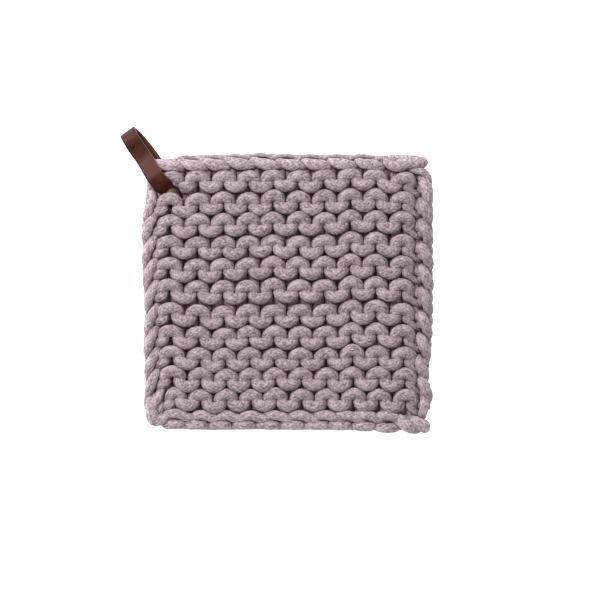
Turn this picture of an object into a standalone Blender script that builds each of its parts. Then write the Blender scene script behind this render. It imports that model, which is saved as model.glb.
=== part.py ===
"""Hand-knit square pot holder with a leather hanging loop, lying flat, face up.

One thick cotton cord is knit in garter stitch: 22 rows of 10 stitches and two side stitches, which make 11
ridges on each face. A leather strap is folded round one corner, and a rivet joins its two ends through a gap
in the knit.

Run it with: blender --background --python part.py
The model is in metres with +Z up. The origin is under the middle of the whole outline, on the surface that
the pot holder lies on, with +X to the knit's right side edge and +Y to its cast-off edge.
"""

import math

import bmesh
import bpy
import numpy as np
from mathutils import Vector

MM = 0.001

# ---- Driving sizes, in millimetres. Places in the knit count from its lower left corner. ----

MIDDLE_OF_OUTLINE = (94.4, 108.1)

# The cord and how it is knit. A roundness of 2 is a circle, and more is squarer.
YARN_RADIUS = 4.1
YARN_ROUNDNESS = 2.6
KNIT_THICKNESS = 18.0
STITCH_HEIGHT = 16.5
LOOP_OVERLAP = 8.9
LOOP_LEAN = 0.15
RECESS = 2.4
SETTLED = 1.1

# The lattice: arches stand in columns, and their tops lie on ridges.
FIRST_COLUMN = 20.4
COLUMN_PITCHES = (19.8, 18.4, 17.4, 17.4, 17.9, 17.5, 18.2, 17.5, 18.2)
SIDE_COLUMN_GAP = (7.1, 8.4)
FIRST_RIDGE = 26.7
RIDGE_PITCHES = (14.5, 14.4, 15.2, 15.3, 17.0, 15.7, 15.7, 16.1, 14.9, 14.8)
END_ROW_PITCH = 14.6

# Side edges: one strand for each ridge. Columns: place across, rise over the ridge, height.
LEFT_STRAND = (
    (7.7, 1.6, 10.0),
    (6.1, -1.6, 13.2),
    (4.6, -7.1, 13.6),
    (3.6, -12.0, 12.2),
    (3.4, -15.6, 8.6),
)
RIGHT_STRAND = (
    (195.0, -1.5, 9.6),
    (196.8, -3.8, 13.0),
    (198.1, -7.7, 13.6),
    (199.8, -12.4, 12.6),
    (200.2, -16.0, 8.8),
)

# Strands that repeat along the cast-on edge at the bottom and the cast-off edge at the top.
# Columns: step across, place up, height.
CAST_ON_INNER = (
    (-7.5, 11.2, 11.2),
    (-3.5, 12.8, 13.0),
    (0.5, 13.5, 13.6),
    (5.0, 12.0, 13.2),
    (10.0, 9.6, 11.4),
)
CAST_ON_OUTER = (
    (-7.2, 8.2, 8.6),
    (-4.0, 6.4, 10.8),
    (0.0, 6.0, 11.4),
    (4.4, 6.6, 10.8),
    (7.4, 8.8, 8.8),
)
CAST_OFF_INNER = (
    (-4.0, 190.0, 11.0),
    (0.5, 190.4, 13.4),
    (5.0, 189.8, 13.8),
    (10.5, 187.9, 13.4),
    (15.0, 185.6, 11.6),
)
CAST_OFF_OUTER = (
    (-6.5, 189.6, 8.0),
    (-2.5, 191.0, 10.6),
    (2.5, 191.3, 11.2),
    (7.0, 190.3, 10.4),
    (10.5, 188.6, 8.0),
)
# Columns: the first strand's place across, the pitch, the number of strands, the strand.
END_CHAINS = (
    (22.0, 17.4, 10, CAST_ON_INNER),
    (21.4, 16.8, 10, CAST_ON_OUTER),
    (13.0, 17.6, 10, CAST_OFF_INNER),
    (16.0, 17.6, 10, CAST_OFF_OUTER),
)

# The cord's two ends and the turns at the corners. Columns: place across, place up, height.
CORNER_TURNS = (
    ((174.0, 190.4, 11.0), (184.0, 190.9, 12.4), (192.0, 190.4, 12.2), (199.2, 188.6, 11.4)),
    ((193.0, 183.6, 12.6), (198.0, 180.4, 12.8), (200.0, 174.0, 12.4), (200.2, 168.0, 10.0)),
    ((5.6, 25.0, 12.4), (5.0, 19.0, 12.8), (6.6, 13.0, 12.4), (11.0, 10.6, 12.0), (16.0, 10.4, 11.0)),
    ((5.4, 13.0, 11.0), (7.0, 8.4, 11.2), (12.0, 7.2, 10.8), (17.0, 7.6, 9.6)),
    ((200.0, 30.0, 10.0), (199.4, 22.0, 12.4), (196.0, 14.6, 12.4), (190.0, 11.8, 11.6)),
    ((178.0, 9.0, 10.6), (186.0, 6.6, 11.4), (193.0, 5.6, 11.4), (198.4, 4.6, 10.6)),
    ((5.0, 166.0, 9.6), (5.2, 175.0, 9.4), (6.6, 184.0, 7.0), (12.0, 189.6, 6.6), (20.0, 190.4, 10.0)),
)

# Where the lines of points run over a ridge, and over the knit's corner for the lines past the last ridges.
# Columns: rise at the middle of an arch, at its side and at its end.
GAP_LINE = (1.9, 0.0, -2.2)
FRONT_LINES = (
    (1.7, 0.1, -1.7),
    (-1.7, -2.9, -3.7),
    (-4.45, -4.45, -4.45),
    (-5.2, -6.0, -7.2),
    (-7.2, -9.0, -10.6),
)
FRONT_TOP_LINES = (196.5, 193.6, 190.6, 187.6)
FRONT_BOTTOM_LINES = (
    (15.4, 14.6, 12.9),
    (13.2, 12.6, 11.2),
    (9.4, 9.2, 8.8),
    (6.4, 6.4, 6.4),
    (1.2, 1.2, 1.2),
)
BACK_LINES = ((0.0, -1.7, -3.6), (-5.3, -7.2, -8.9))
BACK_TOP_LINES = (196.5, 192.4)
BACK_BOTTOM_LINES = ((7.4, 6.8, 6.2), (1.2, 1.2, 1.2))
LEFT_PLACES = (-2.5, 2.4, 5.4, 9.6)
RIGHT_PLACES = (193.8, 197.4, 201.2, 206.0)
SAMPLES_PER_STITCH = 4
RIM_TRIALS = 36

STRAP_WIDTH = 12.0
STRAP_THICKNESS = 1.8
STRAP_TIP_WIDTH = 2.9
STRAP_DIRECTION = (-0.593, 0.805)
RIVET_PLACE = (21.4, 167.2)
# The strap's middle line from its upper end to its lower. Columns: distance from the rivet, height, aside.
STRAP_ROUTE = (
    (-6.5, 6.3, 0.0),
    (0.5, 6.3, 0.0),
    (4.5, 7.6, -0.8),
    (10.0, 12.4, -2.0),
    (15.0, 15.4, -2.6),
    (19.0, 15.8, -2.6),
    (24.0, 13.9, -2.0),
    (29.0, 10.8, -1.4),
    (34.5, 9.4, -1.1),
    (40.0, 10.6, -1.1),
    (46.0, 12.8, -0.7),
    (50.6, 11.9, -0.1),
    (53.8, 7.4, 0.4),
    (52.0, 2.6, 0.9),
    (47.5, 0.9, 1.4),
    (38.0, 0.9, 1.6),
    (24.0, 0.9, 1.6),
    (14.0, 0.95, 1.2),
    (7.0, 2.4, 0.6),
    (0.5, 4.2, 0.0),
    (-6.5, 4.2, 0.0),
)

# The knit gives way to the strap over this margin and eases back over this width. It lies over the strap's
# two ends up to this distance past the rivet.
PRESS_MARGIN = 1.2
PRESS_EASE = 5.0
ENDS_COVERED_TO = 1.5

RIVET_HEAD_RADIUS = 4.6
RIVET_HEAD_HEIGHT = 2.0
RIVET_POST_RADIUS = 2.0
RIVET_CAP_RADIUS = 4.2
RIVET_CAP_HEIGHT = 1.2
RIVET_CAP_BEVEL = 0.4
RIVET_SIDES = 20

# The room between a piece and the hole cut for it, and between the rivet and the leather it holds.
CUT_GAP = 0.35
FITTING_GAP = 0.3

COTTON = (0.47, 0.39, 0.42)
LEATHER = (0.13, 0.045, 0.03)
BRASS = (0.42, 0.36, 0.2)

# ---- The knit's lattice ----

KNIT_MIDDLE = KNIT_THICKNESS / 2
YARN_SWING = KNIT_MIDDLE - YARN_RADIUS
COLUMNS = FIRST_COLUMN + np.concatenate([[0.0], np.cumsum(COLUMN_PITCHES)])
RIDGES = FIRST_RIDGE + np.concatenate([[0.0], np.cumsum(RIDGE_PITCHES)])
BACK_RIDGES = np.concatenate(
    [[RIDGES[0] - END_ROW_PITCH / 2], (RIDGES[:-1] + RIDGES[1:]) / 2, [RIDGES[-1] + END_ROW_PITCH / 2]]
)


def across(stitch):
    """The place across the knit of a stitch number, which may lie between two stitches."""
    numbers = np.concatenate([[-0.5], np.arange(len(COLUMNS)), [len(COLUMNS) - 0.5]])
    places = np.concatenate([[COLUMNS[0] - SIDE_COLUMN_GAP[0]], COLUMNS, [COLUMNS[-1] + SIDE_COLUMN_GAP[1]]])
    return np.interp(stitch, numbers, places)


# ---- The cord's middle line, in strands of points: place across, place up, height ----


def smooth_line(knots, steps):
    """Points on a Catmull-Rom line through the knots, with so many steps between each two."""
    padded = [2 * knots[0] - knots[1], *knots, 2 * knots[-1] - knots[-2]]
    points = []
    for before, start, end, after in zip(padded, padded[1:], padded[2:], padded[3:]):
        for step in range(steps):
            t = step / steps
            slope = (end - before) * t
            bend = (2 * before - 5 * start + 4 * end - after) * t**2
            twist = (3 * start - before - 3 * end + after) * t**3
            points.append((2 * start + slope + bend + twist) / 2)
    points.append(knots[-1])
    return np.array(points)


def arc(stitch, crest, turn, side):
    """The crest of one yarn loop: turn 1 for an arch and -1 for a bowl, side 1 for the front."""
    angle = np.radians(np.linspace(-75, 75, 15))
    place = stitch + angle / (2 * math.pi) + LOOP_LEAN * np.sin(2 * angle)
    rise = crest - turn * STITCH_HEIGHT / 2 * (1 - np.cos(angle))
    height = KNIT_MIDDLE + side * YARN_SWING * np.cos(angle)
    return np.column_stack([across(place), rise, height])


def loops(ridges, side):
    """All arches and bowls of one face."""
    strands = []
    for ridge in ridges:
        strands += [arc(stitch, ridge, 1, side) for stitch in range(len(COLUMNS))]
        strands += [arc(stitch - 0.5, ridge - LOOP_OVERLAP, -1, side) for stitch in range(len(COLUMNS) + 1)]
    return strands


def strand(table, step_across=0.0, step_up=0.0):
    """A smooth strand through a table's rows, moved by a step."""
    return smooth_line([np.array(row) + (step_across, step_up, 0.0) for row in table], 6)


def edge_strands():
    """The side edges, the cast-on and cast-off edges and the corners."""
    strands = [strand(table) for table in CORNER_TURNS]
    for ridge in RIDGES[:-1]:
        strands.append(strand(LEFT_STRAND, step_up=ridge))
        strands.append(strand(RIGHT_STRAND, step_up=ridge))
    for first, pitch, number, table in END_CHAINS:
        strands += [strand(table, step_across=first + pitch * i) for i in range(number)]
    return strands


def turned_over(strands):
    """The same strands as the back face shows them."""
    return [points * (1, 1, -1) + (0, 0, KNIT_THICKNESS) for points in strands]


# ---- The strap ----

ALONG = np.array(STRAP_DIRECTION) / np.hypot(*STRAP_DIRECTION)
ASIDE = np.array([ALONG[1], -ALONG[0]])


def strap_line():
    """The strap's middle line from its upper end to its lower end, nowhere under the floor."""
    route = smooth_line([np.array(row) for row in STRAP_ROUTE], 3)
    places = np.array(RIVET_PLACE) + np.outer(route[:, 0], ALONG) + np.outer(route[:, 2], ASIDE)
    return np.column_stack([places, np.maximum(route[:, 1], STRAP_THICKNESS / 2)])


def lengthened(line, extra):
    """The line with both of its ends moved outwards."""
    ways = [line[0] - line[1], line[-1] - line[-2]]
    first, last = [end + way / np.linalg.norm(way) * extra for end, way in zip((line[0], line[-1]), ways)]
    return np.vstack([first, line[1:-1], last])


def strap_mesh(name, width, thickness, extra):
    """A ribbon along the strap's line with round ends, given its thickness by Solidify."""
    line = lengthened(strap_line(), extra)
    run = np.concatenate([[0.0], np.cumsum(np.linalg.norm(np.diff(line, axis=0), axis=1))])
    radius = width / 2
    round_end = radius * (1 - np.cos(np.linspace(0, math.pi / 2, 6)))
    body = run[(run > round_end[-1] + thickness / 2) & (run < run[-1] - round_end[-1] - thickness / 2)]
    stations = np.concatenate([round_end, body, run[-1] - round_end[::-1]])
    inset = np.clip(radius - np.minimum(stations, run[-1] - stations), 0, radius)
    half_width = np.maximum(np.sqrt(radius**2 - inset**2), STRAP_TIP_WIDTH / 2)

    mesh_data = bmesh.new()
    bmesh.ops.create_grid(mesh_data, x_segments=len(stations) - 1, y_segments=2, size=1.0)
    for vertex in mesh_data.verts:
        station = round((vertex.co.x + 1) / 2 * (len(stations) - 1))
        middle = [np.interp(stations[station], run, line[:, axis]) for axis in range(3)]
        offset = ASIDE * half_width[station] * vertex.co.y
        vertex.co = Vector((middle[0] + offset[0], middle[1] + offset[1], middle[2])) * MM
    strap = add_object(name, mesh_data)
    thicken = strap.modifiers.new("thickness", "SOLIDIFY")
    thicken.thickness = thickness * MM
    thicken.offset = 0.0
    return strap


def strap_span(places, upper):
    """The height of the strap's upper or lower run over each place, and how far off its side the place is."""
    line = strap_line()
    fold = int(np.argmax((line[:, :2] - RIVET_PLACE) @ ALONG))
    run = line[: fold + 1] if upper else line[fold:]
    forward = (run[:, :2] - RIVET_PLACE) @ ALONG
    sideways = (run[:, :2] - RIVET_PLACE) @ ASIDE
    order = np.argsort(forward)
    along = (places - RIVET_PLACE) @ ALONG
    height = np.interp(along, forward[order], run[order, 2])
    middle = np.interp(along, forward[order], sideways[order])
    outside = np.abs((places - RIVET_PLACE) @ ASIDE - middle) - STRAP_WIDTH / 2
    outside = np.maximum(outside, forward.min() - along)
    return height, np.maximum(outside, along - forward.max())


def press(places, heights, upper):
    """Let the strap's upper run lie on the knit, and the knit on the strap's lower run."""
    strap_height, outside = strap_span(places, upper)
    share = 1 - np.clip((outside - PRESS_MARGIN) / PRESS_EASE, 0, 1)
    room = STRAP_THICKNESS / 2 + CUT_GAP
    if not upper:
        return heights + share * (np.maximum(heights, strap_height + room) - heights)
    over_the_ends = (places - RIVET_PLACE) @ ALONG < ENDS_COVERED_TO
    share = np.where(over_the_ends, 0.0, share)
    return heights + share * (np.minimum(heights, strap_height - room) - heights)


# ---- The knit panel: a front and a back face of points, joined along their rims ----


def zigzag(levels, stitch):
    """A line's rise where it passes a stitch number: over the middle, the side or the end of an arch."""
    return np.interp(np.abs(stitch - np.round(stitch)), (0, 0.25, 0.5), levels)


def face_grid(ridges, ridge_lines, top_lines, bottom_lines):
    """Places of one face's points: a row for each line from the top down, a column for each sample."""
    last = len(COLUMNS) - 0.5
    stitches = np.linspace(-0.5, last, SAMPLES_PER_STITCH * len(COLUMNS) + 1)
    xs = np.concatenate([LEFT_PLACES, across(stitches), RIGHT_PLACES])
    numbers = np.concatenate([[-0.5] * len(LEFT_PLACES), stitches, [last] * len(RIGHT_PLACES)])
    rows = [np.full(len(xs), level) for level in top_lines]
    for ridge, above in reversed(list(zip(ridges, [*ridges[1:], ridges[-1] + END_ROW_PITCH]))):
        gap_middle = (ridge + above - LOOP_OVERLAP) / 2
        rows.append(gap_middle + zigzag(GAP_LINE, numbers))
        rows += [ridge + zigzag(levels, numbers) for levels in ridge_lines]
    rows += [zigzag(levels, numbers) for levels in bottom_lines]
    return np.stack([np.column_stack([xs, row]) for row in rows])


def swell(places, yarn):
    """How high the yarn's surface stands over each place, and never under the recess between strands."""
    heights = np.full(len(places), RECESS)
    for i, place in enumerate(places):
        far = np.hypot(yarn[:, 0] - place[0], yarn[:, 1] - place[1]) / YARN_RADIUS
        near = far < 1
        if near.any():
            dome = YARN_RADIUS * (1 - far[near] ** YARN_ROUNDNESS) ** (1 / YARN_ROUNDNESS)
            heights[i] = max(RECESS, (yarn[near, 2] + dome).max())
    return heights


def rim_mask(grid):
    """Which of the points lie on the outermost lines and columns."""
    mask = np.ones(grid.shape[:2], bool)
    mask[1:-1, 1:-1] = False
    return mask


def draw_in(grid, yarn):
    """Bring the outermost points in to the yarn's own outline."""
    lines, columns = grid.shape[:2]
    result = grid.copy()
    for line, column in np.argwhere(rim_mask(grid)):
        inner = grid[min(max(line, 1), lines - 2), min(max(column, 1), columns - 2)]
        way = grid[line, column] - inner
        for trial in range(RIM_TRIALS, 0, -1):
            place = inner + way * trial / RIM_TRIALS
            if np.hypot(yarn[:, 0] - place[0], yarn[:, 1] - place[1]).min() < YARN_RADIUS:
                break
        result[line, column] = place
    return result


def add_face(mesh_data, grid, heights):
    """One face of the panel as a grid of points; returns its points by line and column."""
    lines, columns = grid.shape[:2]
    made = bmesh.ops.create_grid(mesh_data, x_segments=columns - 1, y_segments=lines - 1, size=1.0)["verts"]
    table = np.empty((lines, columns), object)
    for vertex in made:
        column = round((vertex.co.x + 1) / 2 * (columns - 1))
        line = round((1 - vertex.co.y) / 2 * (lines - 1))
        x, y = grid[line, column]
        vertex.co = Vector((x, y, heights[line, column])) * MM
        table[line, column] = vertex
    return table


def zip_rims(mesh_data, front, back, axis):
    """Join two open rims, which may have different numbers of points, with a strip of faces."""
    way = 1 if front[-1].co[axis] > front[0].co[axis] else -1
    i = j = 0
    while i < len(front) - 1 or j < len(back) - 1:
        more_front = i < len(front) - 1
        more_back = j < len(back) - 1
        if more_front and (not more_back or way * front[i + 1].co[axis] <= way * back[j + 1].co[axis]):
            mesh_data.faces.new((front[i], back[j], front[i + 1]))
            i += 1
        else:
            mesh_data.faces.new((front[i], back[j], back[j + 1]))
            j += 1


def knit_panel():
    """The whole knit as one closed solid, with its stitches raised on both faces."""
    front_yarn = np.vstack(loops(RIDGES, 1) + edge_strands())
    back_yarn = np.vstack(loops(BACK_RIDGES, -1) + turned_over(edge_strands()))
    front_grid = face_grid(RIDGES, FRONT_LINES, FRONT_TOP_LINES, FRONT_BOTTOM_LINES)
    back_grid = face_grid(BACK_RIDGES, BACK_LINES, BACK_TOP_LINES, BACK_BOTTOM_LINES)

    mesh_data = bmesh.new()
    tables = []
    for grid, yarn, side, settled in ((front_grid, front_yarn, 1, 0.0), (back_grid, back_yarn, -1, SETTLED)):
        grid = draw_in(grid, front_yarn)
        places = grid.reshape(-1, 2)
        rise = swell(places, (yarn - (0, 0, KNIT_MIDDLE)) * (1, 1, side))
        rise = np.where(rim_mask(grid).ravel(), RECESS, rise)
        heights = np.clip(KNIT_MIDDLE + side * (rise + settled), 0, KNIT_THICKNESS)
        heights = press(places, heights, side == 1)
        tables.append(add_face(mesh_data, grid, heights.reshape(grid.shape[:2])))
    front, back = tables
    zip_rims(mesh_data, front[:, 0], back[:, 0], 1)
    zip_rims(mesh_data, front[:, -1], back[:, -1], 1)
    zip_rims(mesh_data, front[0, :], back[0, :], 0)
    zip_rims(mesh_data, front[-1, :], back[-1, :], 0)
    bmesh.ops.triangulate(mesh_data, faces=mesh_data.faces, quad_method="SHORT_EDGE")
    bmesh.ops.recalc_face_normals(mesh_data, faces=mesh_data.faces)
    return add_object("knit_panel", mesh_data)


# ---- The rivet ----


def rivet_profile(grow):
    """Radius and height from the top of the dome to the middle of the cap's underside."""
    head_floor = STRAP_ROUTE[0][1] + STRAP_THICKNESS / 2 + FITTING_GAP - grow
    cap_top = STRAP_ROUTE[-1][1] - STRAP_THICKNESS / 2 - FITTING_GAP + grow
    cap_floor = cap_top - RIVET_CAP_HEIGHT - 2 * grow
    head, post, cap = [size + grow for size in (RIVET_HEAD_RADIUS, RIVET_POST_RADIUS, RIVET_CAP_RADIUS)]
    height = RIVET_HEAD_HEIGHT + 2 * grow
    angles = np.linspace(0, math.pi / 2, 6)
    dome = [(head * math.sin(angle), head_floor + height * math.cos(angle)) for angle in angles]
    foot = [(post, head_floor), (post, cap_top), (cap, cap_top)]
    bevel = [(cap, cap_floor + RIVET_CAP_BEVEL), (cap - RIVET_CAP_BEVEL, cap_floor)]
    return [*dome, *foot, *bevel, (0.0, cap_floor)]


def rivet_mesh(name, grow):
    mesh_data = bmesh.new()
    points = [mesh_data.verts.new(Vector((radius, 0, height)) * MM) for radius, height in rivet_profile(grow)]
    for upper, lower in zip(points, points[1:]):
        mesh_data.edges.new((upper, lower))
    made = add_object(name, mesh_data)
    made.location = Vector((*RIVET_PLACE, 0)) * MM
    turn = made.modifiers.new("turn", "SCREW")
    turn.steps = RIVET_SIDES
    turn.render_steps = RIVET_SIDES
    turn.use_merge_vertices = True
    turn.merge_threshold = 0.01 * MM
    return made


# ---- Objects, materials and cuts ----


def add_collection(name):
    collection = bpy.data.collections.new(name)
    bpy.context.scene.collection.children.link(collection)
    return collection


def add_object(name, mesh_data):
    mesh = bpy.data.meshes.new(name)
    mesh_data.to_mesh(mesh)
    mesh_data.free()
    made = bpy.data.objects.new(name, mesh)
    PARTS.objects.link(made)
    made.parent = CORNER
    return made


def add_material(made, name, color, roughness, metallic=0.0):
    material = bpy.data.materials.new(name)
    material.use_nodes = True
    shader = material.node_tree.nodes["Principled BSDF"]
    shader.inputs["Base Color"].default_value = (*color, 1.0)
    shader.inputs["Roughness"].default_value = roughness
    shader.inputs["Metallic"].default_value = metallic
    made.data.materials.append(material)


def as_cutter(made):
    PARTS.objects.unlink(made)
    CUTTERS.objects.link(made)
    made.hide_render = True
    made.display_type = "WIRE"
    return made


def cut(made, cutter, meets_itself=False):
    boolean = made.modifiers.new(f"cut by {cutter.name}", "BOOLEAN")
    boolean.operation = "DIFFERENCE"
    boolean.object = cutter
    boolean.use_self = meets_itself


for old in list(bpy.data.objects):
    bpy.data.objects.remove(old, do_unlink=True)

PARTS = add_collection("knitted pot holder")
CUTTERS = add_collection("cutters")
CORNER = bpy.data.objects.new("knit corner", None)
PARTS.objects.link(CORNER)
CORNER.location = Vector((-MIDDLE_OF_OUTLINE[0], -MIDDLE_OF_OUTLINE[1], 0)) * MM

panel = knit_panel()
loop = strap_mesh("leather_loop", STRAP_WIDTH, STRAP_THICKNESS, 0.0)
rivet = rivet_mesh("rivet", 0.0)

room_width = STRAP_WIDTH + 2 * CUT_GAP
room_thickness = STRAP_THICKNESS + 2 * CUT_GAP
strap_room = as_cutter(strap_mesh("room for the strap", room_width, room_thickness, CUT_GAP))
rivet_room = as_cutter(rivet_mesh("room for the rivet", CUT_GAP))
cut(panel, strap_room, meets_itself=True)
cut(panel, rivet_room)
cut(loop, rivet_room)

add_material(panel, "heather cotton", COTTON, 0.95)
add_material(loop, "brown leather", LEATHER, 0.5)
add_material(rivet, "brass", BRASS, 0.4, 1.0)
for turned in (loop, rivet):
    turned.data.shade_smooth()
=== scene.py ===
"""The looks of a hand-knit pot holder: heather cotton cord in garter stitch, a leather loop and a rivet.

The cord is drawn as a tube along its real path through every stitch. Sizes are in millimetres, and places
count from the knit's lower left corner, as the stitches do. Each mesh is moved to the model's own frame, in
metres.
"""

import math

import bpy
import numpy as np
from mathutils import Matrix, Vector


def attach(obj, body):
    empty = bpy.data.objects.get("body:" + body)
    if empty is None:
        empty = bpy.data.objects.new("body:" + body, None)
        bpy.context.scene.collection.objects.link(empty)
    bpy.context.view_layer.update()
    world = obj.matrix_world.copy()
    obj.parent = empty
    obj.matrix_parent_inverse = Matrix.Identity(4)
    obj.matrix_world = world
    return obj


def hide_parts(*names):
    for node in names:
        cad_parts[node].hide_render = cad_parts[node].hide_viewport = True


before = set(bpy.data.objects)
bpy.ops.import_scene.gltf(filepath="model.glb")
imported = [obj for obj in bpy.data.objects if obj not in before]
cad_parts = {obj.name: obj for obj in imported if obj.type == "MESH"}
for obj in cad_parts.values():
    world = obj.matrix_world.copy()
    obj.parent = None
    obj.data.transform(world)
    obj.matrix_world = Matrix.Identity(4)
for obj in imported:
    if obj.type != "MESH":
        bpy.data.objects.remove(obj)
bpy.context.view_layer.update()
MM = 0.001
SEED = 11
CHANCE = np.random.default_rng(SEED)

# ---- The knit's lattice: arches stand in columns, and their tops lie on ridges ----

MIDDLE_OF_OUTLINE = (94.4, 108.1)
FIRST_COLUMN = 20.4
COLUMN_PITCHES = (19.8, 18.4, 17.4, 17.4, 17.9, 17.5, 18.2, 17.5, 18.2)
FIRST_RIDGE = 26.7
RIDGE_PITCHES = (14.5, 14.4, 15.2, 15.3, 17.0, 15.7, 15.7, 16.1, 14.9, 14.8)
END_ROW_PITCH = 14.6
LOOP_OVERLAP = 8.9

# How far the side stitches lie outside the first column, half a stitch and a quarter stitch before it, and
# outside the last column in rows whose arches show on the front (1) or on the back (-1).
FIRST_SIDE_STITCH = (9.0, 5.8)
FIRST_RIDGE_SIDE_STITCH = (4.2, 2.2)
LAST_SIDE_STITCH = {1: 9.4, -1: 6.0}

# How far the stitches lie off that lattice, to the right and up. A row for each height, a column for each
# place.
LEAN_HEIGHTS = (27.0, 75.0, 110.0, 180.0)
LEAN_PLACES = (20.0, 75.0, 130.0, 185.0)
LEAN = (
    (1.8, 0.5, 0.8, 1.6),
    (0.3, -1.5, -0.8, -0.5),
    (-1.0, -2.1, -1.4, -1.0),
    (0.2, -1.2, -1.5, -0.5),
)
LIFT_HEIGHTS = (27.0, 75.0, 110.0, 164.0, 172.0, 181.0)
LIFT_PLACES = (20.0, 48.0, 90.0, 128.0, 148.0, 165.0, 177.0, 191.0)
LIFT = (
    (1.6, 0.4, 1.0, 0.8, 0.9, 0.7, 0.3, 0.0),
    (1.4, -0.7, 0.0, 0.6, 2.8, 2.8, 1.6, 0.8),
    (0.5, -1.0, 1.0, 0.2, 2.6, 2.6, 1.4, 0.6),
    (-2.4, -1.1, -0.1, 0.2, 1.7, 1.2, 0.2, -0.2),
    (0.3, -0.4, 0.2, 1.4, 2.3, 1.9, -0.6, -0.6),
    (-1.0, -1.2, -0.4, 0.2, 1.5, -0.2, -4.0, -0.6),
)

# The cord, and how far its middle swings from the middle of the knit to each face.
YARN_RADIUS = 4.25
KNIT_MIDDLE = 9.0
FRONT_SWING = 4.9
BACK_SWING = 5.2

# How far a loop leans over, in stitches, and how far its swing between the faces runs ahead of its rise, in
# radians.
LOOP_LEAN = 0.135
LEG_LEAD = 0.1
STEPS_PER_STITCH = 40

# How far the cord wanders off its line: in a row's loops across, up and in height, and in an edge's strands.
WANDER = (0.45, 0.4, 0.3)
STRAND_WANDER = 0.25

# A strand is thinner at its ends by this share, which fades over this length. Each end is rounded off in
# rings, which stand at these angles over the dome's foot, in degrees.
TAPER = 0.16
TAPER_LENGTH = 12.0
CAP_ANGLES = (80, 55, 30)
SIDES = 20
RING_STEP = 1.0
FEWEST_STEPS = 4
# The cord isn't evenly round. Columns: share of the radius, length along the cord, waves round it.
UNEVENNESS = (
    (0.018, 3.1, 2),
    (0.015, 1.9, -3),
    (0.02, 7.7, 1),
)
# No strand starts along this direction.
CLEAR_OF_STRANDS = (0.3, 0.5, 0.8)

# The unit of a mesh's map, and how far along an endless cord a strand may start on it.
MAP_UNIT = 10.0
LONGEST_START = 500.0

# Where a row's cord goes past its first and last bowl, into the knit. Columns: place across, rise over the
# ridge, height. The last bowl on each ridge is drawn tight: it is thin, and it sinks into the knit. The row's
# own line gives way to these tables so many of its steps before each end.
ROW_END_STEPS = 4
BOWL_START = ((11.8, -9.6, 8.4), (11.3, -9.4, 9.8), (11.2, -9.0, 11.6))
FIRST_RIDGE_BOWL_SHIFT = 5.0
FIRST_RIDGE_END_SHIFT = -1.2
BOWL_END = ((190.2, -11.6, 10.8), (193.4, -13.2, 9.0), (196.4, -14.8, 6.2))
SIDE_STITCH_FADE = 0.35
LAST_BOWL_SINK = 2.2
LAST_BOWL_RADIUS = 2.7
THIN_FROM = 181.0
THIN_TO = 187.0

# Side edges: one strand for each ridge. A strand is its radius and its rows. Columns: place across, rise over
# the ridge, height.
LEFT_STRAND = (
    3.4,
    (
        (10.8, 4.4, 8.2),
        (9.6, 2.4, 11.0),
        (7.9, -0.9, 13.4),
        (5.7, -5.4, 14.4),
        (4.1, -10.0, 13.6),
        (3.5, -14.0, 11.2),
        (4.2, -17.4, 8.4),
    ),
)
RIGHT_STRAND = (
    3.8,
    (
        (195.4, -2.8, 7.8),
        (195.8, -3.8, 11.0),
        (196.9, -6.2, 13.6),
        (198.4, -9.8, 14.4),
        (199.9, -13.4, 13.0),
        (200.4, -16.8, 10.2),
        (199.6, -19.6, 7.6),
    ),
)

# How far a side edge's strands lie to the right of their table, by the height of their widest place.
LEFT_LEAN_HEIGHTS = (35.0, 49.0, 64.0, 80.0, 97.0, 113.0)
LEFT_LEAN = (1.5, 0.9, 0.3, 1.4, 0.3, -0.6)
RIGHT_LEAN_HEIGHTS = (27.0, 34.0, 49.0, 57.0, 72.0, 90.0)
RIGHT_LEAN = (-0.5, -2.6, -2.7, -1.3, -0.5, 0.0)
WIDEST_UNDER_RIDGE = 14.0

# Hidden strands that fill the knit behind its deepest pits. Columns: place across, place up, height.
LEFT_FILLING = (
    2.6,
    (
        (19.0, 40.0, 5.4),
        (18.6, 100.0, 5.4),
        (18.8, 156.0, 5.4),
    ),
)
LOW_LEFT_FILLING = (
    3.0,
    (
        (7.6, 42.0, 8.6),
        (9.0, 34.0, 8.6),
        (10.2, 27.0, 8.6),
        (11.0, 20.0, 8.6),
    ),
)
RIGHT_FILLING = (
    3.0,
    (
        (194.4, 10.0, 7.0),
        (193.8, 16.0, 7.0),
        (192.4, 24.0, 7.0),
        (191.2, 50.0, 6.6),
        (192.4, 140.0, 6.6),
        (191.6, 186.0, 6.6),
    ),
)
TOP_FILLING = (
    3.0,
    (
        (12.0, 183.0, 5.6),
        (60.0, 183.4, 5.6),
        (120.0, 183.4, 5.6),
        (170.0, 183.0, 5.6),
        (192.0, 181.0, 5.6),
    ),
)
RIVET_FILLING = (
    2.8,
    (
        (22.0, 178.5, 7.0),
        (25.5, 173.5, 6.4),
        (28.7, 169.5, 6.2),
        (31.7, 165.5, 6.2),
        (33.0, 161.0, 6.0),
    ),
)

# The cast-on edge at the bottom and the cast-off edge at the top look like twisted rope: one strand for each
# stitch, which crosses over the start of the next. Columns: step across, place up, height. Where a strand has
# a radius for each row, it is thicker in some places.
CAST_ON_STRAND = (
    3.5,
    (
        (-9.6, 9.4, 7.4),
        (-7.0, 11.0, 10.8),
        (-3.4, 12.6, 13.4),
        (1.0, 12.9, 14.3),
        (5.2, 11.8, 13.8),
        (9.2, 10.4, 12.8),
        (12.6, 9.8, 11.2),
        (15.4, 9.8, 8.8),
        (17.0, 10.0, 6.8),
    ),
)
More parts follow.
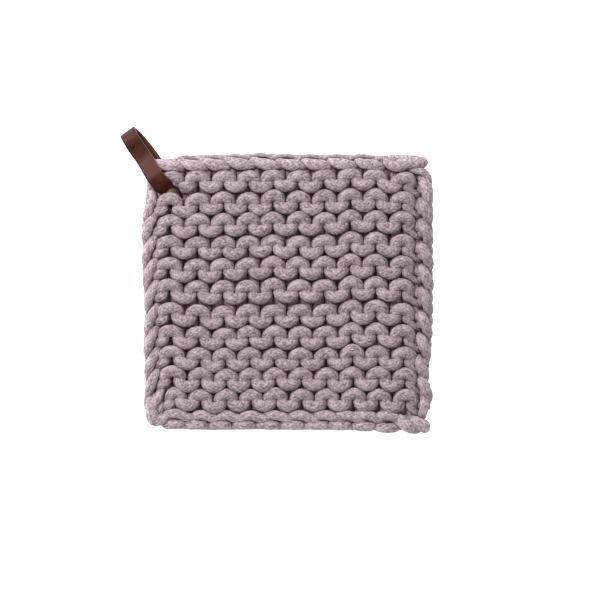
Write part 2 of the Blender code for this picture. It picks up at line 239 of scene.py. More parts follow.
# Each strand's place across, and how far it lies above the table's places.
CAST_ON_PLACES = (
    (23.0, 1.1),
    (42.0, 0.2),
    (59.3, -0.5),
    (75.5, -0.2),
    (92.5, 0.0),
    (110.0, 0.0),
    (127.4, 0.0),
    (142.0, 0.0),
    (155.4, 0.0),
    (170.8, -0.4),
)
CAST_ON_BUMP = (
    (4.4, 4.3, 4.0, 3.7, 4.0, 4.3, 4.4),
    (
        (-5.6, 8.4, 5.0),
        (-5.7, 7.4, 8.4),
        (-4.0, 6.4, 11.0),
        (0.0, 6.1, 12.0),
        (4.0, 6.4, 11.0),
        (5.7, 7.4, 8.4),
        (5.6, 8.4, 5.0),
    ),
)
CAST_ON_BUMP_PLACES = (
    (22.2, 0.2),
    (37.8, 0.0),
    (54.9, 0.0),
    (71.4, 0.0),
    (88.2, 0.0),
    (105.0, 0.0),
    (122.0, -0.2),
    (138.8, -0.5),
    (155.2, -1.0),
    (171.8, -2.4),
)
CAST_OFF_STRAND = (
    (2.6, 3.2, 3.6, 4.1, 4.1, 3.5, 2.8),
    (
        (-14.2, 190.2, 8.2),
        (-11.4, 189.7, 11.4),
        (-7.6, 188.3, 13.0),
        (-3.4, 187.3, 13.5),
        (0.8, 186.8, 13.0),
        (4.6, 186.1, 11.4),
        (6.4, 185.5, 8.4),
    ),
)
CAST_OFF_PLACES = (
    (22.5, -0.8),
    (39.0, -0.2),
    (54.6, 0.3),
    (71.4, 0.8),
    (89.6, 0.6),
    (107.5, 0.1),
    (125.2, 0.0),
    (143.5, 0.5),
    (162.5, 0.1),
)
HALF_STITCH = 8.8

# The rims between the two ropes of each edge. Columns: place across, place up, height.
CAST_ON_RIM = (
    3.0,
    (
        (17.0, 6.8, 8.0),
        (40.0, 5.3, 7.0),
        (80.0, 5.1, 7.0),
        (120.0, 5.1, 7.0),
        (150.0, 4.8, 7.0),
        (168.0, 4.2, 7.0),
        (181.0, 4.4, 8.0),
    ),
)
CAST_OFF_RIM = (
    2.2,
    (
        (11.0, 188.6, 8.0),
        (21.0, 190.0, 8.0),
        (34.0, 192.0, 8.8),
        (48.0, 192.6, 8.8),
        (62.0, 192.8, 8.8),
        (82.0, 193.3, 8.8),
        (104.0, 192.9, 8.8),
        (132.0, 192.6, 8.8),
        (146.0, 192.8, 8.8),
        (172.0, 192.2, 8.8),
        (183.0, 191.2, 8.0),
    ),
)
# Each stitch of the cast-off edge bows out over the rim in a thin arc, with a slit between it and the rope.
CAST_OFF_ARC = (
    (2.2, 2.0, 1.7, 1.6, 1.7, 2.0, 2.2),
    (
        (-9.6, 190.2, 8.6),
        (-7.8, 191.6, 10.6),
        (-4.2, 193.0, 11.6),
        (0.0, 193.5, 11.9),
        (4.2, 193.0, 11.6),
        (7.8, 191.6, 10.6),
        (9.6, 190.2, 8.6),
    ),
)
CAST_OFF_ARC_PLACES = (
    (32.2, -0.7),
    (48.6, -0.2),
    (65.4, 0.4),
    (83.0, 1.0),
    (99.8, 0.6),
    (117.2, 0.0),
    (135.6, 0.3),
    (154.0, 0.3),
    (171.5, -0.6),
)

# The first and last loops of the cord are hidden on the front, under the ropes, and lie no higher than this.
HIDDEN_SWING = -3.4
HIDDEN_TOP = 6.4
CAST_ON_FOOT = 11.5
CAST_OFF_HEAD = 187.0

# The cord's two ends and the turns at the corners. Columns: place across, place up, height.
CAST_OFF_END = (
    (
        5.0,
        (
            (175.0, 191.0, 7.2),
            (179.0, 190.4, 10.8),
            (184.8, 189.9, 12.6),
            (190.0, 189.5, 12.8),
            (195.2, 189.3, 12.2),
        ),
    ),
    (
        3.8,
        (
            (169.8, 190.2, 8.0),
            (171.8, 189.2, 11.6),
            (174.8, 187.2, 13.6),
            (179.0, 186.0, 14.2),
            (183.4, 187.2, 12.6),
            (186.2, 189.4, 9.2),
        ),
    ),
    (
        2.9,
        (
            (187.0, 184.6, 8.6),
            (189.4, 184.2, 11.6),
            (194.4, 183.2, 12.9),
            (198.8, 180.6, 12.2),
            (200.4, 176.6, 10.4),
            (200.6, 173.6, 8.4),
        ),
    ),
    (
        4.2,
        (
            (196.2, 177.6, 8.0),
            (197.2, 175.2, 12.0),
            (198.8, 170.6, 14.0),
            (199.8, 165.6, 13.0),
            (200.0, 161.4, 9.4),
        ),
    ),
)
CAST_OFF_START = (
    (4.0, ((6.8, 174.0, 6.0), (9.0, 183.4, 6.4), (14.0, 187.4, 7.0), (22.0, 188.8, 7.4))),
    (
        2.9,
        (
            (7.4, 177.0, 7.4),
            (6.4, 172.6, 8.4),
            (5.8, 167.6, 9.0),
            (5.2, 162.4, 9.0),
            (5.6, 158.6, 8.0),
        ),
    ),
    (
        2.9,
        (
            (8.8, 158.4, 8.4),
            (8.3, 160.8, 11.8),
            (7.8, 164.2, 13.0),
            (7.4, 167.2, 12.0),
            (7.6, 169.4, 9.0),
        ),
    ),
    (
        2.4,
        (
            (6.6, 170.8, 8.8),
            (6.6, 171.4, 10.6),
            (7.8, 171.8, 11.4),
            (9.6, 171.4, 10.0),
            (10.8, 170.8, 8.4),
        ),
    ),
    (
        3.4,
        (
            (8.0, 163.4, 8.4),
            (6.8, 161.4, 11.6),
            (5.3, 157.8, 13.8),
            (4.1, 153.6, 13.6),
            (3.5, 150.6, 11.2),
            (4.2, 147.6, 8.4),
        ),
    ),
)
CAST_ON_START = (
    (
        (4.1, 4.1, 4.3, 4.6, 4.6, 4.3, 3.9, 3.6),
        (
            (7.8, 26.4, 8.0),
            (7.0, 23.8, 10.8),
            (6.9, 19.8, 12.6),
            (7.4, 14.2, 13.4),
            (8.6, 10.4, 13.4),
            (11.6, 9.4, 13.4),
            (16.0, 11.0, 13.0),
            (20.0, 12.6, 10.0),
        ),
    ),
    (
        3.3,
        (
            (15.2, 31.2, 8.0),
            (13.8, 29.0, 12.0),
            (11.8, 25.8, 14.2),
            (10.0, 22.4, 14.4),
            (8.8, 19.4, 13.4),
            (8.0, 17.4, 11.0),
        ),
    ),
    (
        3.0,
        (
            (6.8, 26.4, 7.0),
            (4.6, 24.4, 8.0),
            (4.1, 21.4, 8.2),
            (4.6, 18.6, 8.0),
            (6.8, 16.6, 7.0),
        ),
    ),
    (3.1, ((13.4, 24.4, 8.0), (13.4, 21.0, 11.0), (13.2, 17.6, 12.2), (13.2, 13.8, 11.0))),
    (3.6, ((8.0, 18.0, 9.0), (15.0, 19.0, 9.0), (22.0, 19.0, 9.0), (30.0, 17.0, 9.0))),
)
CAST_ON_END = (
    (
        3.3,
        (
            (196.2, 27.6, 8.0),
            (197.2, 24.6, 11.4),
            (197.2, 20.0, 13.6),
            (196.4, 15.0, 13.4),
            (195.2, 10.8, 9.6),
        ),
    ),
    (
        4.6,
        (
            (176.0, 11.6, 9.4),
            (180.4, 9.4, 12.6),
            (185.6, 5.8, 13.6),
            (190.6, 4.0, 12.0),
            (194.6, 4.6, 8.8),
        ),
    ),
    (
        4.4,
        (
            (188.0, 9.2, 9.0),
            (191.4, 8.2, 12.6),
            (194.8, 6.4, 14.2),
            (197.6, 4.6, 13.0),
            (198.2, 3.8, 9.4),
        ),
    ),
)

# ---- The strap and the rivet ----

STRAP_WIDTH = 12.0
STRAP_THICKNESS = 1.8
STRAP_CORNER = 0.5
STRAP_TIP_WIDTH = 2.9
STRAP_LINE_STEPS = 16
STRAP_RING_STEP = 0.7
# A section's points: on each rounded corner, and between the corners, this far in from the strap's sides.
STRAP_CORNER_POINTS = 5
STRAP_FACE_POINTS = 7
STRAP_FACE_INSET = 1.0
STRAP_DIRECTION = (-0.593, 0.805)
RIVET_PLACE = (21.4, 167.2)
# The strap's middle line from its upper end to its lower. Columns: distance from the rivet, height, aside.
STRAP_ROUTE = (
    (-6.5, 6.3, 0.0),
    (0.5, 6.3, 0.0),
    (4.5, 7.6, -0.8),
    (10.0, 12.4, -2.0),
    (14.0, 15.2, -2.5),
    (17.4, 15.8, -2.6),
    (22.0, 14.0, -2.2),
    (27.0, 10.9, -1.6),
    (33.0, 9.4, -1.2),
    (40.0, 10.6, -1.1),
    (46.0, 12.8, -0.7),
    (50.6, 11.9, -0.1),
    (53.8, 7.4, 0.4),
    (52.0, 2.6, 0.9),
    (47.5, 0.9, 1.8),
    (38.0, 0.9, 2.4),
    (24.0, 0.9, 2.4),
    (14.0, 0.95, 1.6),
    (7.0, 2.4, 0.6),
    (0.5, 4.2, 0.0),
    (-6.5, 4.2, 0.0),
)

# The knit gives way to the strap over this margin, and leaves this gap. The middle of a cord eases back over
# one width, and its surface over the other. A pressed cord keeps this share of its radius. Only the arches of
# one row lie over the strap's upper end.
PRESS_MARGIN = 0.2
STRAP_GAP = 0.35
CORD_EASE = 2.5
SURFACE_EASE = 1.4
PRESSED_SHARE = 0.75
ROW_OVER_THE_END = 18

RIVET_HEAD_RADIUS = 4.6
RIVET_HEAD_HEIGHT = 2.0
RIVET_POST_RADIUS = 2.0
RIVET_CAP_RADIUS = 4.2
RIVET_CAP_HEIGHT = 1.2
RIVET_CAP_BEVEL = 0.4
RIVET_SEGMENTS = 48
RIVET_DOME_POINTS = 13
RIVET_SHARP_ANGLE = 40
FITTING_GAP = 0.3

COLUMNS = FIRST_COLUMN + np.concatenate([[0.0], np.cumsum(COLUMN_PITCHES)])
RIDGES = FIRST_RIDGE + np.concatenate([[0.0], np.cumsum(RIDGE_PITCHES)])
BACK_RIDGES = np.concatenate(
    [[RIDGES[0] - END_ROW_PITCH / 2], (RIDGES[:-1] + RIDGES[1:]) / 2, [RIDGES[-1] + END_ROW_PITCH / 2]]
)
ALONG = np.array(STRAP_DIRECTION) / np.hypot(*STRAP_DIRECTION)
ASIDE = np.array([ALONG[1], -ALONG[0]])


def across(stitch, side, first_ridge):
    """The place across the knit of a stitch number, which may lie between two stitches."""
    numbers = np.concatenate([[-0.5, -0.25], np.arange(len(COLUMNS)), [len(COLUMNS) - 0.5]])
    first = COLUMNS[0] - np.array(FIRST_RIDGE_SIDE_STITCH if first_ridge else FIRST_SIDE_STITCH)
    places = np.concatenate([first, COLUMNS, [COLUMNS[-1] + LAST_SIDE_STITCH[side]]])
    return np.interp(stitch, numbers, places)


def table_value(table, heights, places, line):
    """A table's value at each point of a line, evened out between its rows and columns."""
    by_row = np.array([np.interp(line[:, 0], places, row) for row in table])
    number = np.interp(line[:, 1], heights, range(len(heights)))
    lower = np.minimum(number.astype(int), len(heights) - 2)
    share = number - lower
    point = np.arange(len(line))
    return by_row[lower, point] * (1 - share) + by_row[lower + 1, point] * share


def off_lattice(line):
    """The line as it really lies, a little off the even lattice."""
    lean = table_value(LEAN, LEAN_HEIGHTS, LEAN_PLACES, line)
    lift = table_value(LIFT, LIFT_HEIGHTS, LIFT_PLACES, line)
    return line + np.column_stack([lean, lift, np.zeros(len(line))])


def smooth_line(knots, steps=12):
    """Points on a Catmull-Rom line through the knots, with so many steps between each two."""
    knots = [np.array(knot, float) for knot in knots]
    padded = [2 * knots[0] - knots[1], *knots, 2 * knots[-1] - knots[-2]]
    points = []
    for before, start, end, after in zip(padded, padded[1:], padded[2:], padded[3:]):
        for step in range(steps):
            t = step / steps
            slope = (end - before) * t
            bend = (2 * before - 5 * start + 4 * end - after) * t**2
            twist = (3 * start - before - 3 * end + after) * t**3
            points.append((2 * start + slope + bend + twist) / 2)
    points.append(knots[-1])
    return np.array(points)


# ---- The strap's line, and how the knit gives way to it ----


def strap_line(steps):
    """The strap's middle line from its upper end to its lower end, nowhere under the floor."""
    route = smooth_line(STRAP_ROUTE, steps)
    places = np.array(RIVET_PLACE) + np.outer(route[:, 0], ALONG) + np.outer(route[:, 2], ASIDE)
    return np.column_stack([places, np.maximum(route[:, 1], STRAP_THICKNESS / 2)])


def strap_span(places, upper):
    """The height of the strap's upper or lower run over each place, and how far off its side the place is."""
    line = strap_line(3)
    fold = int(np.argmax((line[:, :2] - RIVET_PLACE) @ ALONG))
    run = line[: fold + 1] if upper else line[fold:]
    forward = (run[:, :2] - RIVET_PLACE) @ ALONG
    sideways = (run[:, :2] - RIVET_PLACE) @ ASIDE
    order = np.argsort(forward)
    along = (places - RIVET_PLACE) @ ALONG
    height = np.interp(along, forward[order], run[order, 2])
    middle = np.interp(along, forward[order], sideways[order])
    outside = np.abs((places - RIVET_PLACE) @ ASIDE - middle) - STRAP_WIDTH / 2
    outside = np.maximum(outside, forward.min() - along)
    return height, np.maximum(outside, along - forward.max())


def give_way(points, room, ease, over_the_end=False):
    """Let the strap's upper run lie on the points, and the points on its lower run, with this much room."""
    places, heights = points[:, :2], points[:, 2]
    if not over_the_end:
        upper, outside = strap_span(places, True)
        share = 1 - np.clip((outside - PRESS_MARGIN) / ease, 0, 1)
        heights = heights + share * (np.minimum(heights, upper - room) - heights)
    lower, outside = strap_span(places, False)
    share = 1 - np.clip((outside - PRESS_MARGIN) / ease, 0, 1)
    heights = heights + share * (np.maximum(heights, lower + room) - heights)
    return np.column_stack([places, heights])


# ---- The cord's middle line ----


def turned_over(line):
    """The same line as the back face shows it."""
    return line * (1, 1, -1) + (0, 0, 2 * KNIT_MIDDLE)


def row_strand(row):
    """The cord through one row, and its radius. Even rows have their arches on the front, and odd rows their
    bowls."""
    ridge = row // 2
    if row % 2 == 0:
        line = looped_line(RIDGES[ridge], BACK_RIDGES[ridge] - LOOP_OVERLAP, 1, ridge == 0)
        return line, YARN_RADIUS
    line = looped_line(BACK_RIDGES[ridge + 1], RIDGES[ridge] - LOOP_OVERLAP, -1, ridge == 0)
    return line, np.interp(line[:, 0], (THIN_FROM, THIN_TO), (YARN_RADIUS, LAST_BOWL_RADIUS))


def looped_line(head, foot, side, first_ridge=False, front_swing=FRONT_SWING):
    """The cord through a row of stitches, with its arches at the head and its bowls at the foot."""
    count = len(COLUMNS)
    t = np.linspace(-math.pi, (2 * count - 1) * math.pi, count * STEPS_PER_STITCH + 1)
    place = t / (2 * math.pi) + LOOP_LEAN * np.sin(2 * t)
    rise = foot + (head - foot) * (1 + np.cos(t)) / 2
    wave = side * np.cos(t + LEG_LEAD)
    height = KNIT_MIDDLE + wave * np.where(wave > 0, front_swing, BACK_SWING)
    if side == -1:
        last_bowl = np.clip(place - (count - 1), 0, 0.5) / 0.5
        rise -= last_bowl * LAST_BOWL_SINK
        height -= last_bowl * (1 - SIDE_STITCH_FADE) * np.maximum(height - KNIT_MIDDLE, 0)
    line = np.column_stack([across(place, side, first_ridge), rise, height])
    turns = t / math.pi
    knots = np.arange(-1, 2 * count)
    for axis, most in enumerate(WANDER):
        amounts = np.clip(CHANCE.normal(0, most, len(knots)), -2 * most, 2 * most)
        line[:, axis] += np.interp(turns, knots, amounts)
    start, end = (np.array(table) + (0, foot + LOOP_OVERLAP, 0) for table in (BOWL_START, BOWL_END))
    if first_ridge:
        start = start + (FIRST_RIDGE_BOWL_SHIFT, 0, 0)
        end = end + (FIRST_RIDGE_END_SHIFT, 0, 0)
    if side == 1:
        start, end = turned_over(start), turned_over(end)
    inner = line[ROW_END_STEPS:-ROW_END_STEPS]
    start = smooth_line([*start, inner[0]])[:-1]
    end = smooth_line([inner[-1], *end])[1:]
    return off_lattice(np.vstack([start, inner, end]))


def strand(radius_and_rows, step_across=0.0, step_up=0.0):
    """A strand's smooth line, moved by a step and with its inner points a little off, and its radius."""
    radius, rows = radius_and_rows
    knots = np.array(rows) + (step_across, step_up, 0.0)
    knots[1:-1] += CHANCE.uniform(-STRAND_WANDER, STRAND_WANDER, knots[1:-1].shape)
    line = smooth_line(knots)
    if isinstance(radius, tuple):
        radius = np.interp(np.linspace(0, len(knots) - 1, len(line)), range(len(knots)), radius)
    return line, radius


def hidden_loops(head, foot, side):
    """The cord's first or last loops, which lie low on the front, and its radius."""
    line = looped_line(head, foot, side, front_swing=HIDDEN_SWING)
    return np.minimum(line, (math.inf, math.inf, HIDDEN_TOP)), YARN_RADIUS


def both_faces(front, back):
    """The strands of the front face and those of the back face, turned over."""
    return front + [(turned_over(line), radius) for line, radius in back]


def side_edge(table, ridges, back_ridges, lean_heights, lean):
    """One side edge's strands: those of the front lie beside the ridges, and the back's between them."""
    faces = []
    for heights in (ridges, back_ridges):
        steps = np.interp(heights - WIDEST_UNDER_RIDGE, lean_heights, lean)
        faces.append([strand(table, step, height) for height, step in zip(heights, steps)])
    return both_faces(*faces)


def cast_on_edge():
    """The cast-on edge's strands: the rope and the corners of each face, and the bumps along the rim."""
    rope = [hidden_loops(BACK_RIDGES[0], CAST_ON_FOOT, -1)]
    rope += [strand(CAST_ON_STRAND, place, rise) for place, rise in CAST_ON_PLACES]
    rope += [strand(turn) for turn in CAST_ON_START + CAST_ON_END]
    back = [strand(CAST_ON_STRAND, place - HALF_STITCH) for place, _ in CAST_ON_PLACES[1:]]
    back += [strand(turn) for turn in CAST_ON_START + CAST_ON_END[1:]]
    bumps = [strand(CAST_ON_BUMP, place, rise) for place, rise in CAST_ON_BUMP_PLACES]
    bumps.append(strand(CAST_ON_RIM))
    return both_faces(rope, back), bumps


def cast_off_edge():
    """The cast-off edge's strands: the rope and the corners of each face, and the rim and its arcs."""
    front = [hidden_loops(CAST_OFF_HEAD, BACK_RIDGES[-1] - LOOP_OVERLAP, 1)]
    front += [strand(CAST_OFF_STRAND, place, rise) for place, rise in CAST_OFF_PLACES]
    front += [strand(CAST_OFF_ARC, place, rise) for place, rise in CAST_OFF_ARC_PLACES]
    front += [strand(turn) for turn in (CAST_OFF_RIM, TOP_FILLING, *CAST_OFF_START, *CAST_OFF_END)]
    back = [strand(CAST_OFF_STRAND, place - HALF_STITCH, rise) for place, rise in CAST_OFF_PLACES[1:]]
    back += [strand(turn) for turn in CAST_OFF_START + CAST_OFF_END]
    return both_faces(front, back)


# ---- Tubes ----


def evenly(line, step):
    """The same line, and its radius if it has one, in points a step apart, and how far along each lies."""
    run = np.concatenate([[0.0], np.cumsum(np.linalg.norm(np.diff(line[:, :3], axis=0), axis=1))])
    places = np.linspace(0, run[-1], max(FEWEST_STEPS, round(run[-1] / step)) + 1)
    return np.column_stack([np.interp(places, run, column) for column in line.T]), places


def ring_frames(line):
    """Each point's tangent and two directions across it, which turn as little as they can."""
    tangents = np.gradient(line, axis=0)
    tangents /= np.linalg.norm(tangents, axis=1)[:, None]
    normals = np.empty_like(line)
    normal = np.cross(tangents[0], CLEAR_OF_STRANDS)
    for i, tangent in enumerate(tangents):
        normal = normal - tangent * (normal @ tangent)
        normal /= np.linalg.norm(normal)
        normals[i] = normal
    return tangents, normals, np.cross(tangents, normals)


def tube_points(line, radius, over_the_end):
    """Rings of points round a line, rounded off at both ends, and how far along the line each ring lies."""
    line, run = evenly(np.column_stack([line, np.broadcast_to(radius, len(line))]), RING_STEP)
    line, radius = line[:, :3], line[:, 3]
    room = STRAP_THICKNESS / 2 + STRAP_GAP + PRESSED_SHARE * radius
    line = give_way(line, room, CORD_EASE, over_the_end)
    tangents, normals, binormals = ring_frames(line)
    cap = np.radians(CAP_ANGLES)
    scale = np.concatenate([np.cos(cap), np.ones(len(line)), np.cos(cap[::-1])])
    shift = np.concatenate([-np.sin(cap), np.zeros(len(line)), np.sin(cap[::-1])])
    index = np.clip(np.arange(-len(cap), len(line) + len(cap)), 0, len(line) - 1)
    radius = radius[index]
    shift = shift * radius
    centres = line[index] + tangents[index] * shift[:, None]
    angles = np.linspace(0, 2 * math.pi, SIDES, endpoint=False)
    spokes = normals[index][:, None, :] * np.cos(angles)[None, :, None]
    spokes = spokes + binormals[index][:, None, :] * np.sin(angles)[None, :, None]
    phases = CHANCE.uniform(0, 2 * math.pi, len(UNEVENNESS))
    along = (run[index] + shift)[:, None]
    to_end = np.clip(np.minimum(along[:, 0], run[-1] - along[:, 0]) / TAPER_LENGTH, 0, 1)
    scale *= 1 - TAPER * (1 - to_end) ** 2
    uneven = 0
    for (share, length, waves), phase in zip(UNEVENNESS, phases):
        uneven = uneven + share * np.sin(along / length + waves * angles + phase)
    rings = centres[:, None, :] + spokes * ((radius * scale)[:, None] * (1 + uneven))[:, :, None]
    return rings, along[:, 0]


def ring_quads(count, sides):
    """The corners of the quads that join so many rings of points: each corner's ring, and its side there."""
    ring, side = np.meshgrid(np.arange(count - 1), np.arange(sides), indexing="ij")
    rings = np.stack([ring, ring, ring + 1, ring + 1], -1).reshape(-1, 4)
    return rings, np.stack([side, side + 1, side + 1, side], -1).reshape(-1, 4)


def cord_object(name, strands, over_the_end):
    """One mesh of tubes along the strands' lines, with a map of how far along and round the cord it is."""
    points, faces, uvs = [], [], []
    start = 0
    for line, radius in strands:
        rings, along = tube_points(line, radius, over_the_end)
        along = along + CHANCE.uniform(0, LONGEST_START)
        points.append(rings.reshape(-1, 3))
        ring, side = ring_quads(len(rings), SIDES)
        faces.append(start + ring * SIDES + side % SIDES)
        uvs.append(np.stack([along[ring] / MAP_UNIT, side / SIDES], -1).reshape(-1, 2))
        start += len(rings) * SIDES
    room = STRAP_THICKNESS / 2 + STRAP_GAP
    points = give_way(np.vstack(points), room, SURFACE_EASE, over_the_end)
    points[:, 2] = np.maximum(points[:, 2], 0)
    return mesh_object(name, points, np.vstack(faces), np.vstack(uvs))


def mesh_object(name, points, faces, uvs):
    """A mesh from points in millimetres from the knit's corner, quads and their corners' places on a map."""
    mesh = bpy.data.meshes.new(name)
    mesh.vertices.add(len(points))
    mesh.loops.add(faces.size)
    mesh.polygons.add(len(faces))
    places = (points - (*MIDDLE_OF_OUTLINE, 0)) * MM
    mesh.vertices.foreach_set("co", places.astype(np.float32).ravel())
    mesh.loops.foreach_set("vertex_index", faces.astype(np.int32).ravel())
    mesh.polygons.foreach_set("loop_start", np.arange(0, faces.size, faces.shape[1], dtype=np.int32))
    mesh.update(calc_edges=True)
    layer = mesh.uv_layers.new(name="cord")
    layer.data.foreach_set("uv", uvs.astype(np.float32).ravel())
    mesh.shade_smooth()
    mesh.validate()
    made = bpy.data.objects.new(name, mesh)
    bpy.context.scene.collection.objects.link(made)
    return made


def strap_section(half_width):
    """The strap's flat section with rounded corners: each point's place across it and through it."""
    half_thickness = STRAP_THICKNESS / 2
    turn = np.radians(np.linspace(0, 90, STRAP_CORNER_POINTS))
    corner = STRAP_CORNER * np.column_stack([np.cos(turn) - 1, np.sin(turn) - 1])
    face = np.linspace(1, -1, STRAP_FACE_POINTS + 2)[1:-1] * (half_width - STRAP_FACE_INSET)
    near = corner + (half_width, half_thickness)
    far = corner[::-1] * (-1, 1) + (-half_width, half_thickness)
    upper = np.vstack([near, np.column_stack([face, np.full(STRAP_FACE_POINTS, half_thickness)]), far])
    return np.vstack([upper, upper * -1])


def strap_object(name):
    """The leather strap: its section along its line, narrower towards its two round ends."""
    line, run = evenly(strap_line(STRAP_LINE_STEPS), STRAP_RING_STEP)
    radius = STRAP_WIDTH / 2
    tangents, _, _ = ring_frames(line)
    aside = np.array([*ASIDE, 0.0])
    inset = np.clip(radius - np.minimum(run, run[-1] - run), 0, radius)
    half_widths = np.maximum(np.sqrt(radius**2 - inset**2), STRAP_TIP_WIDTH / 2)
    rings, marks = [], []
    for centre, tangent, half_width in zip(line, tangents, half_widths):
        out = np.cross(aside, tangent)
        out /= np.linalg.norm(out)
        section = strap_section(half_width)
        rings.append(centre + section[:, :1] * aside + section[:, 1:] * out)
        marks.append(section[:, 0])
    rings, marks = np.array(rings), np.array(marks)
    count, sides = rings.shape[:2]
    ring, side = ring_quads(count, sides)
    faces = [ring * sides + side % sides]
    uvs = np.stack([run[ring], marks[ring, side % sides]], -1).reshape(-1, 2) / MAP_UNIT
    # Each end is closed with quads between the section's upper and lower points.
    for base, turned in ((0, -1), ((count - 1) * sides, 1)):
        upper = base + np.arange(sides // 2)
        lower = base + sides - 1 - np.arange(sides // 2)
        faces.append(np.column_stack([upper[:-1], upper[1:], lower[1:], lower[:-1]])[:, ::turned])
    faces = np.vstack(faces)
    uvs = np.vstack([uvs, np.zeros((faces.size - len(uvs), 2))])
    return mesh_object(name, rings.reshape(-1, 3), faces, uvs)


# ---- The rivet ----


def rivet_object(name):
    """A turned rivet: its domed head, its post and its flat cap."""
    head_floor = STRAP_ROUTE[0][1] + STRAP_THICKNESS / 2 + FITTING_GAP
    cap_top = STRAP_ROUTE[-1][1] - STRAP_THICKNESS / 2 - FITTING_GAP
    cap_floor = cap_top - RIVET_CAP_HEIGHT
    head, cap = RIVET_HEAD_RADIUS, RIVET_CAP_RADIUS
    angles = np.linspace(0, math.pi / 2, RIVET_DOME_POINTS + 1)[1:]
    profile = [(head * math.sin(a), head_floor + RIVET_HEAD_HEIGHT * math.cos(a)) for a in angles]
    profile += [(RIVET_POST_RADIUS, head_floor), (RIVET_POST_RADIUS, cap_top), (cap, cap_top)]
    profile += [(cap, cap_floor + RIVET_CAP_BEVEL), (cap - RIVET_CAP_BEVEL, cap_floor)]
    around = np.linspace(0, 2 * math.pi, RIVET_SEGMENTS, endpoint=False)
    points = [(0.0, 0.0, head_floor + RIVET_HEAD_HEIGHT)]
    for radius, height in profile:
        points += [(radius * math.cos(a), radius * math.sin(a), height) for a in around]
    points.append((0.0, 0.0, cap_floor))
    faces = []
    last = len(points) - 1
    for i in range(RIVET_SEGMENTS):
        after = (i + 1) % RIVET_SEGMENTS
        faces.append((0, 1 + i, 1 + after))
        for level in range(len(profile) - 1):
            upper, lower = 1 + level * RIVET_SEGMENTS, 1 + (level + 1) * RIVET_SEGMENTS
            faces.append((upper + i, lower + i, lower + after, upper + after))
        bottom = 1 + (len(profile) - 1) * RIVET_SEGMENTS
        faces.append((last, bottom + after, bottom + i))
    places = (np.array(points) + (*RIVET_PLACE, 0) - (*MIDDLE_OF_OUTLINE, 0)) * MM
    mesh = bpy.data.meshes.new(name)
    mesh.from_pydata([tuple(place) for place in places], [], faces)
    mesh.shade_smooth()
    mesh.set_sharp_from_angle(angle=math.radians(RIVET_SHARP_ANGLE))
    made = bpy.data.objects.new(name, mesh)
    bpy.context.scene.collection.objects.link(made)
    return made


# ---- Materials ----

WHITE = (1.0, 1.0, 1.0)
BLACK = (0.0, 0.0, 0.0)


class Nodes:
    """A material's node tree, with short ways to add to it."""

    def __init__(self, name):
        self.material = bpy.data.materials.new(name)
        self.material.use_nodes = True
        self.tree = self.material.node_tree
        self.shader = self.tree.nodes["Principled BSDF"]

    def add(self, kind, **settings):
        node = self.tree.nodes.new(kind)
        for key, value in settings.items():
            setattr(node, key, value)
        return node

    def join(self, source, target):
        if isinstance(source, bpy.types.NodeSocket):
            self.tree.links.new(source, target)
        else:
            target.default_value = source

    def math(self, operation, *values):
        node = self.add("ShaderNodeMath", operation=operation)
        for value, socket in zip(values, node.inputs):
            self.join(value, socket)
        return node.outputs[0]

    def vector(self, x=0.0, y=0.0, z=0.0):
        node = self.add("ShaderNodeCombineXYZ")
        for value, socket in zip((x, y, z), node.inputs):
            self.join(value, socket)
        return node.outputs[0]

    def split(self, vector):
        node = self.add("ShaderNodeSeparateXYZ")
        self.join(vector, node.inputs["Vector"])
        return node.outputs

    def map(self, name):
        return self.split(self.add("ShaderNodeUVMap", uv_map=name).outputs["UV"])

    def noise(self, vector, scale, detail=2.0, roughness=0.5):
        node = self.add("ShaderNodeTexNoise")
        self.join(vector, node.inputs["Vector"])
        for key, value in (("Scale", scale), ("Detail", detail), ("Roughness", roughness)):
            node.inputs[key].default_value = value
        return node.outputs["Fac"]

    def cells(self, vector, scale):
        node = self.add("ShaderNodeTexVoronoi", feature="F1")
        self.join(vector, node.inputs["Vector"])
        node.inputs["Scale"].default_value = scale
        return node.outputs["Distance"]

    def chance(self, vector):
        node = self.add("ShaderNodeTexWhiteNoise", noise_dimensions="3D")
        self.join(vector, node.inputs["Vector"])
        return node.outputs["Value"]

    def ramp(self, value, stops):
        node = self.add("ShaderNodeValToRGB")
        self.join(value, node.inputs["Fac"])
        elements = node.color_ramp.elements
        while len(elements) < len(stops):
            elements.new(0.5)
        for element, (place, color) in zip(elements, stops):
            element.position = place
            element.color = (*color, 1.0)
        return node.outputs["Color"]

    def mix(self, share, first, second, blend="MIX"):
        node = self.add("ShaderNodeMix", data_type="RGBA", blend_type=blend)
        for value, name in ((share, "Factor_Float"), (first, "A_Color"), (second, "B_Color")):
            socket = next(s for s in node.inputs if s.identifier == name)
            self.join((*value, 1.0) if isinstance(value, tuple) else value, socket)
        return next(s for s in node.outputs if s.identifier == "Result_Color")

    def bump(self, height, distance):
        node = self.add("ShaderNodeBump")
        self.join(height, node.inputs["Height"])
        node.inputs["Distance"].default_value = distance
        node.inputs["Strength"].default_value = 1.0
        return node.outputs["Normal"]

    def set(self, **values):
        for key, value in values.items():
            self.join(value, self.shader.inputs[key.replace("_", " ")])
        return self.material


# The cord's braid: plaits round the cord each way, and crossings along a unit of its map. Painted shade: a
# dip between plaits keeps the first share of the colour, and painted light gives a crown the second share
# more.
BRAID_TURNS = 9.0
BRAID_PLAITS = 3.4
PAINTED_DIP_SHADE = 0.78
PAINTED_CROWN_LIGHT = 0.26

